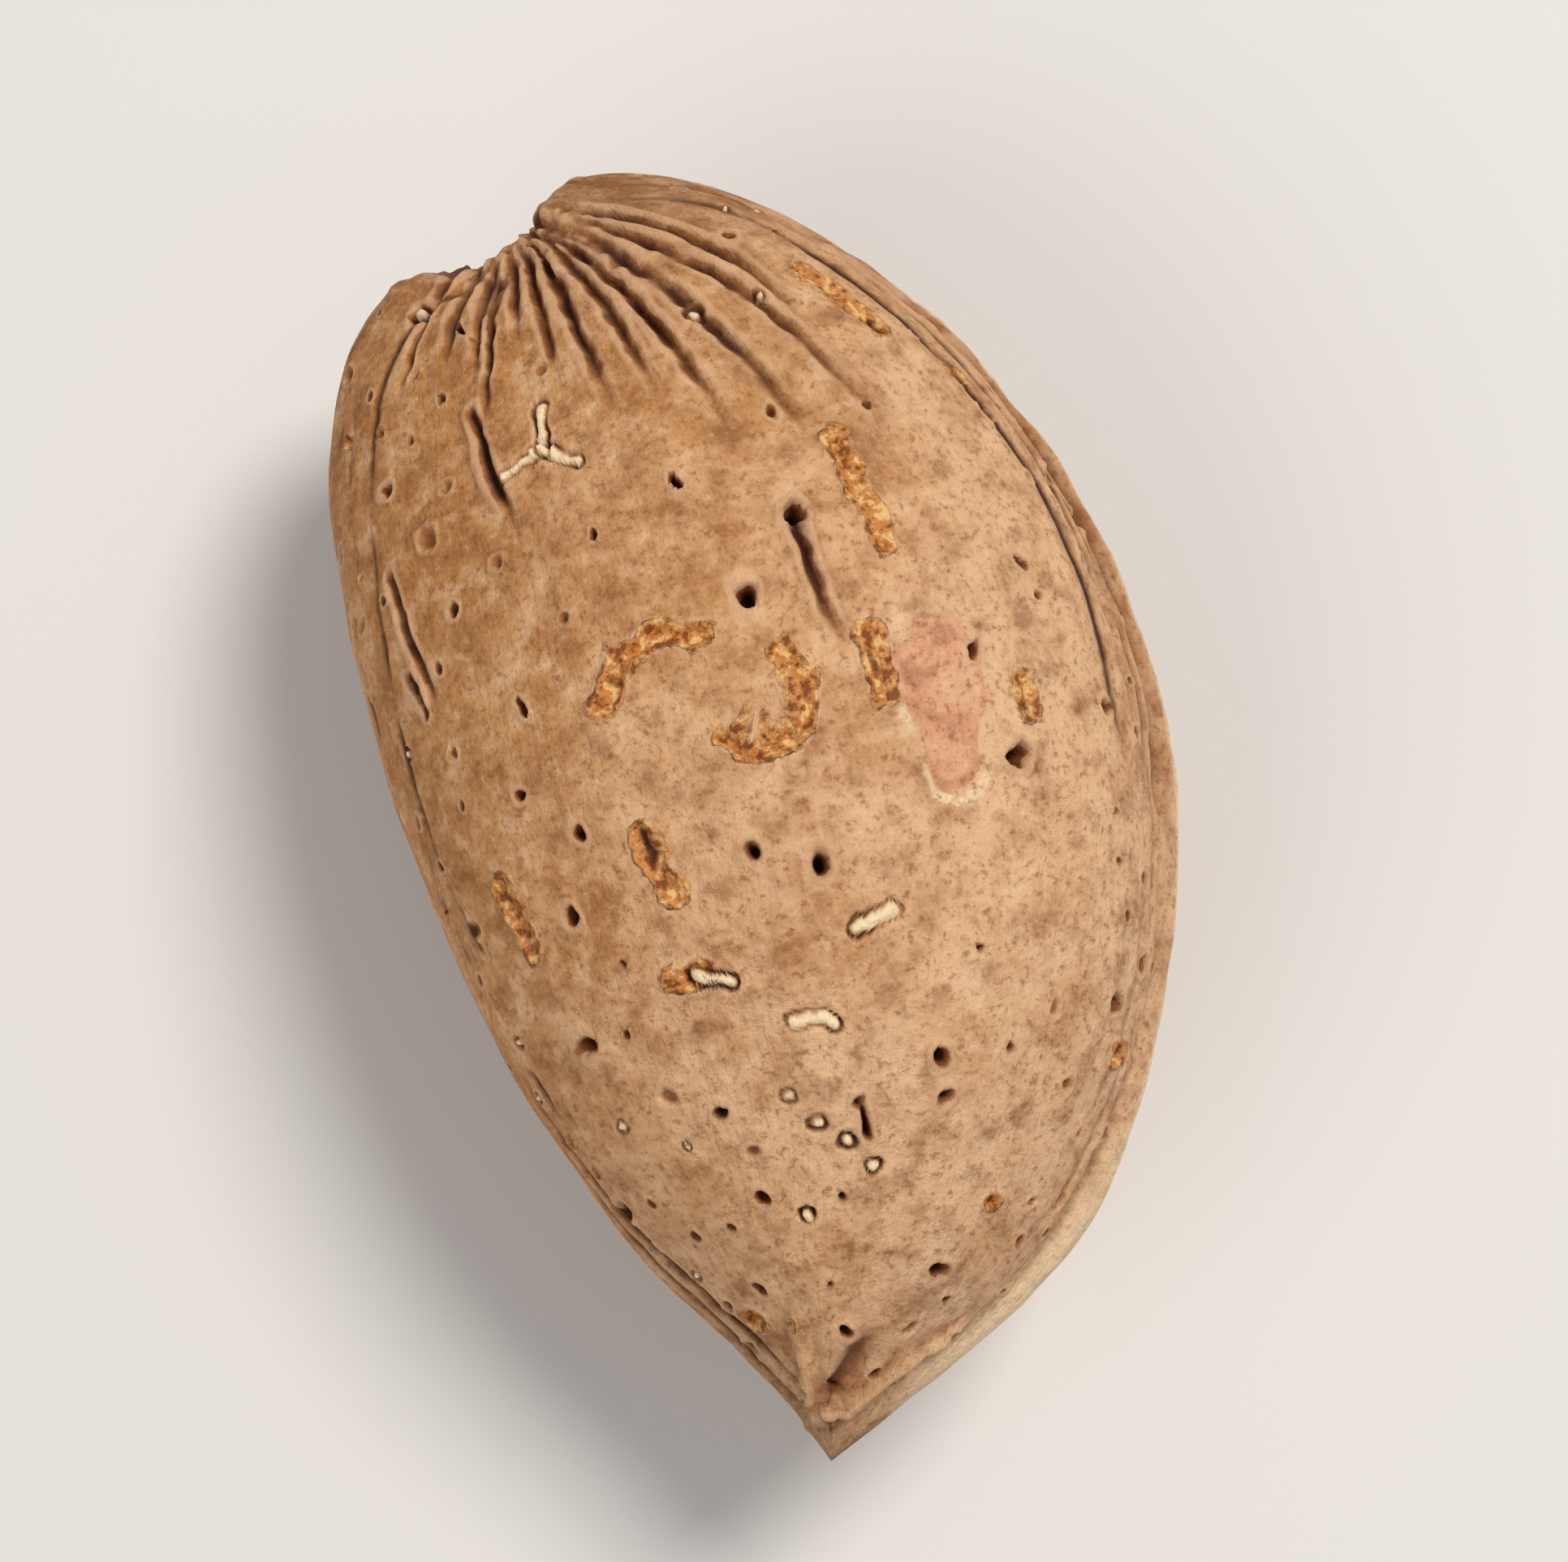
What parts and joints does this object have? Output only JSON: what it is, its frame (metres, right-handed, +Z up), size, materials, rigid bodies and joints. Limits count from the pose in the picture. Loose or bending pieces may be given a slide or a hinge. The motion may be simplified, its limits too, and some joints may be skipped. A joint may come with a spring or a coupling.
{
  "type": "almond",
  "caption": "Almond in its closed, pitted shell, lying on one flank: pointed tip, keeled edge and notched stem end.",
  "frame": {"origin": "centre of the bottom face of the nut's bounding box, on the surface that it lies on", "axes": "+Y from the pointed tip towards the stem end, +X towards the keel, +Z up through the upper flank"},
  "size_m": [0.0206, 0.035, 0.0156],
  "materials": {
    "shell": "dry, matte, pitted shell"
  },
  "bodies": {
    "root": {"almond": "shell"}
  },
  "joints": []
}
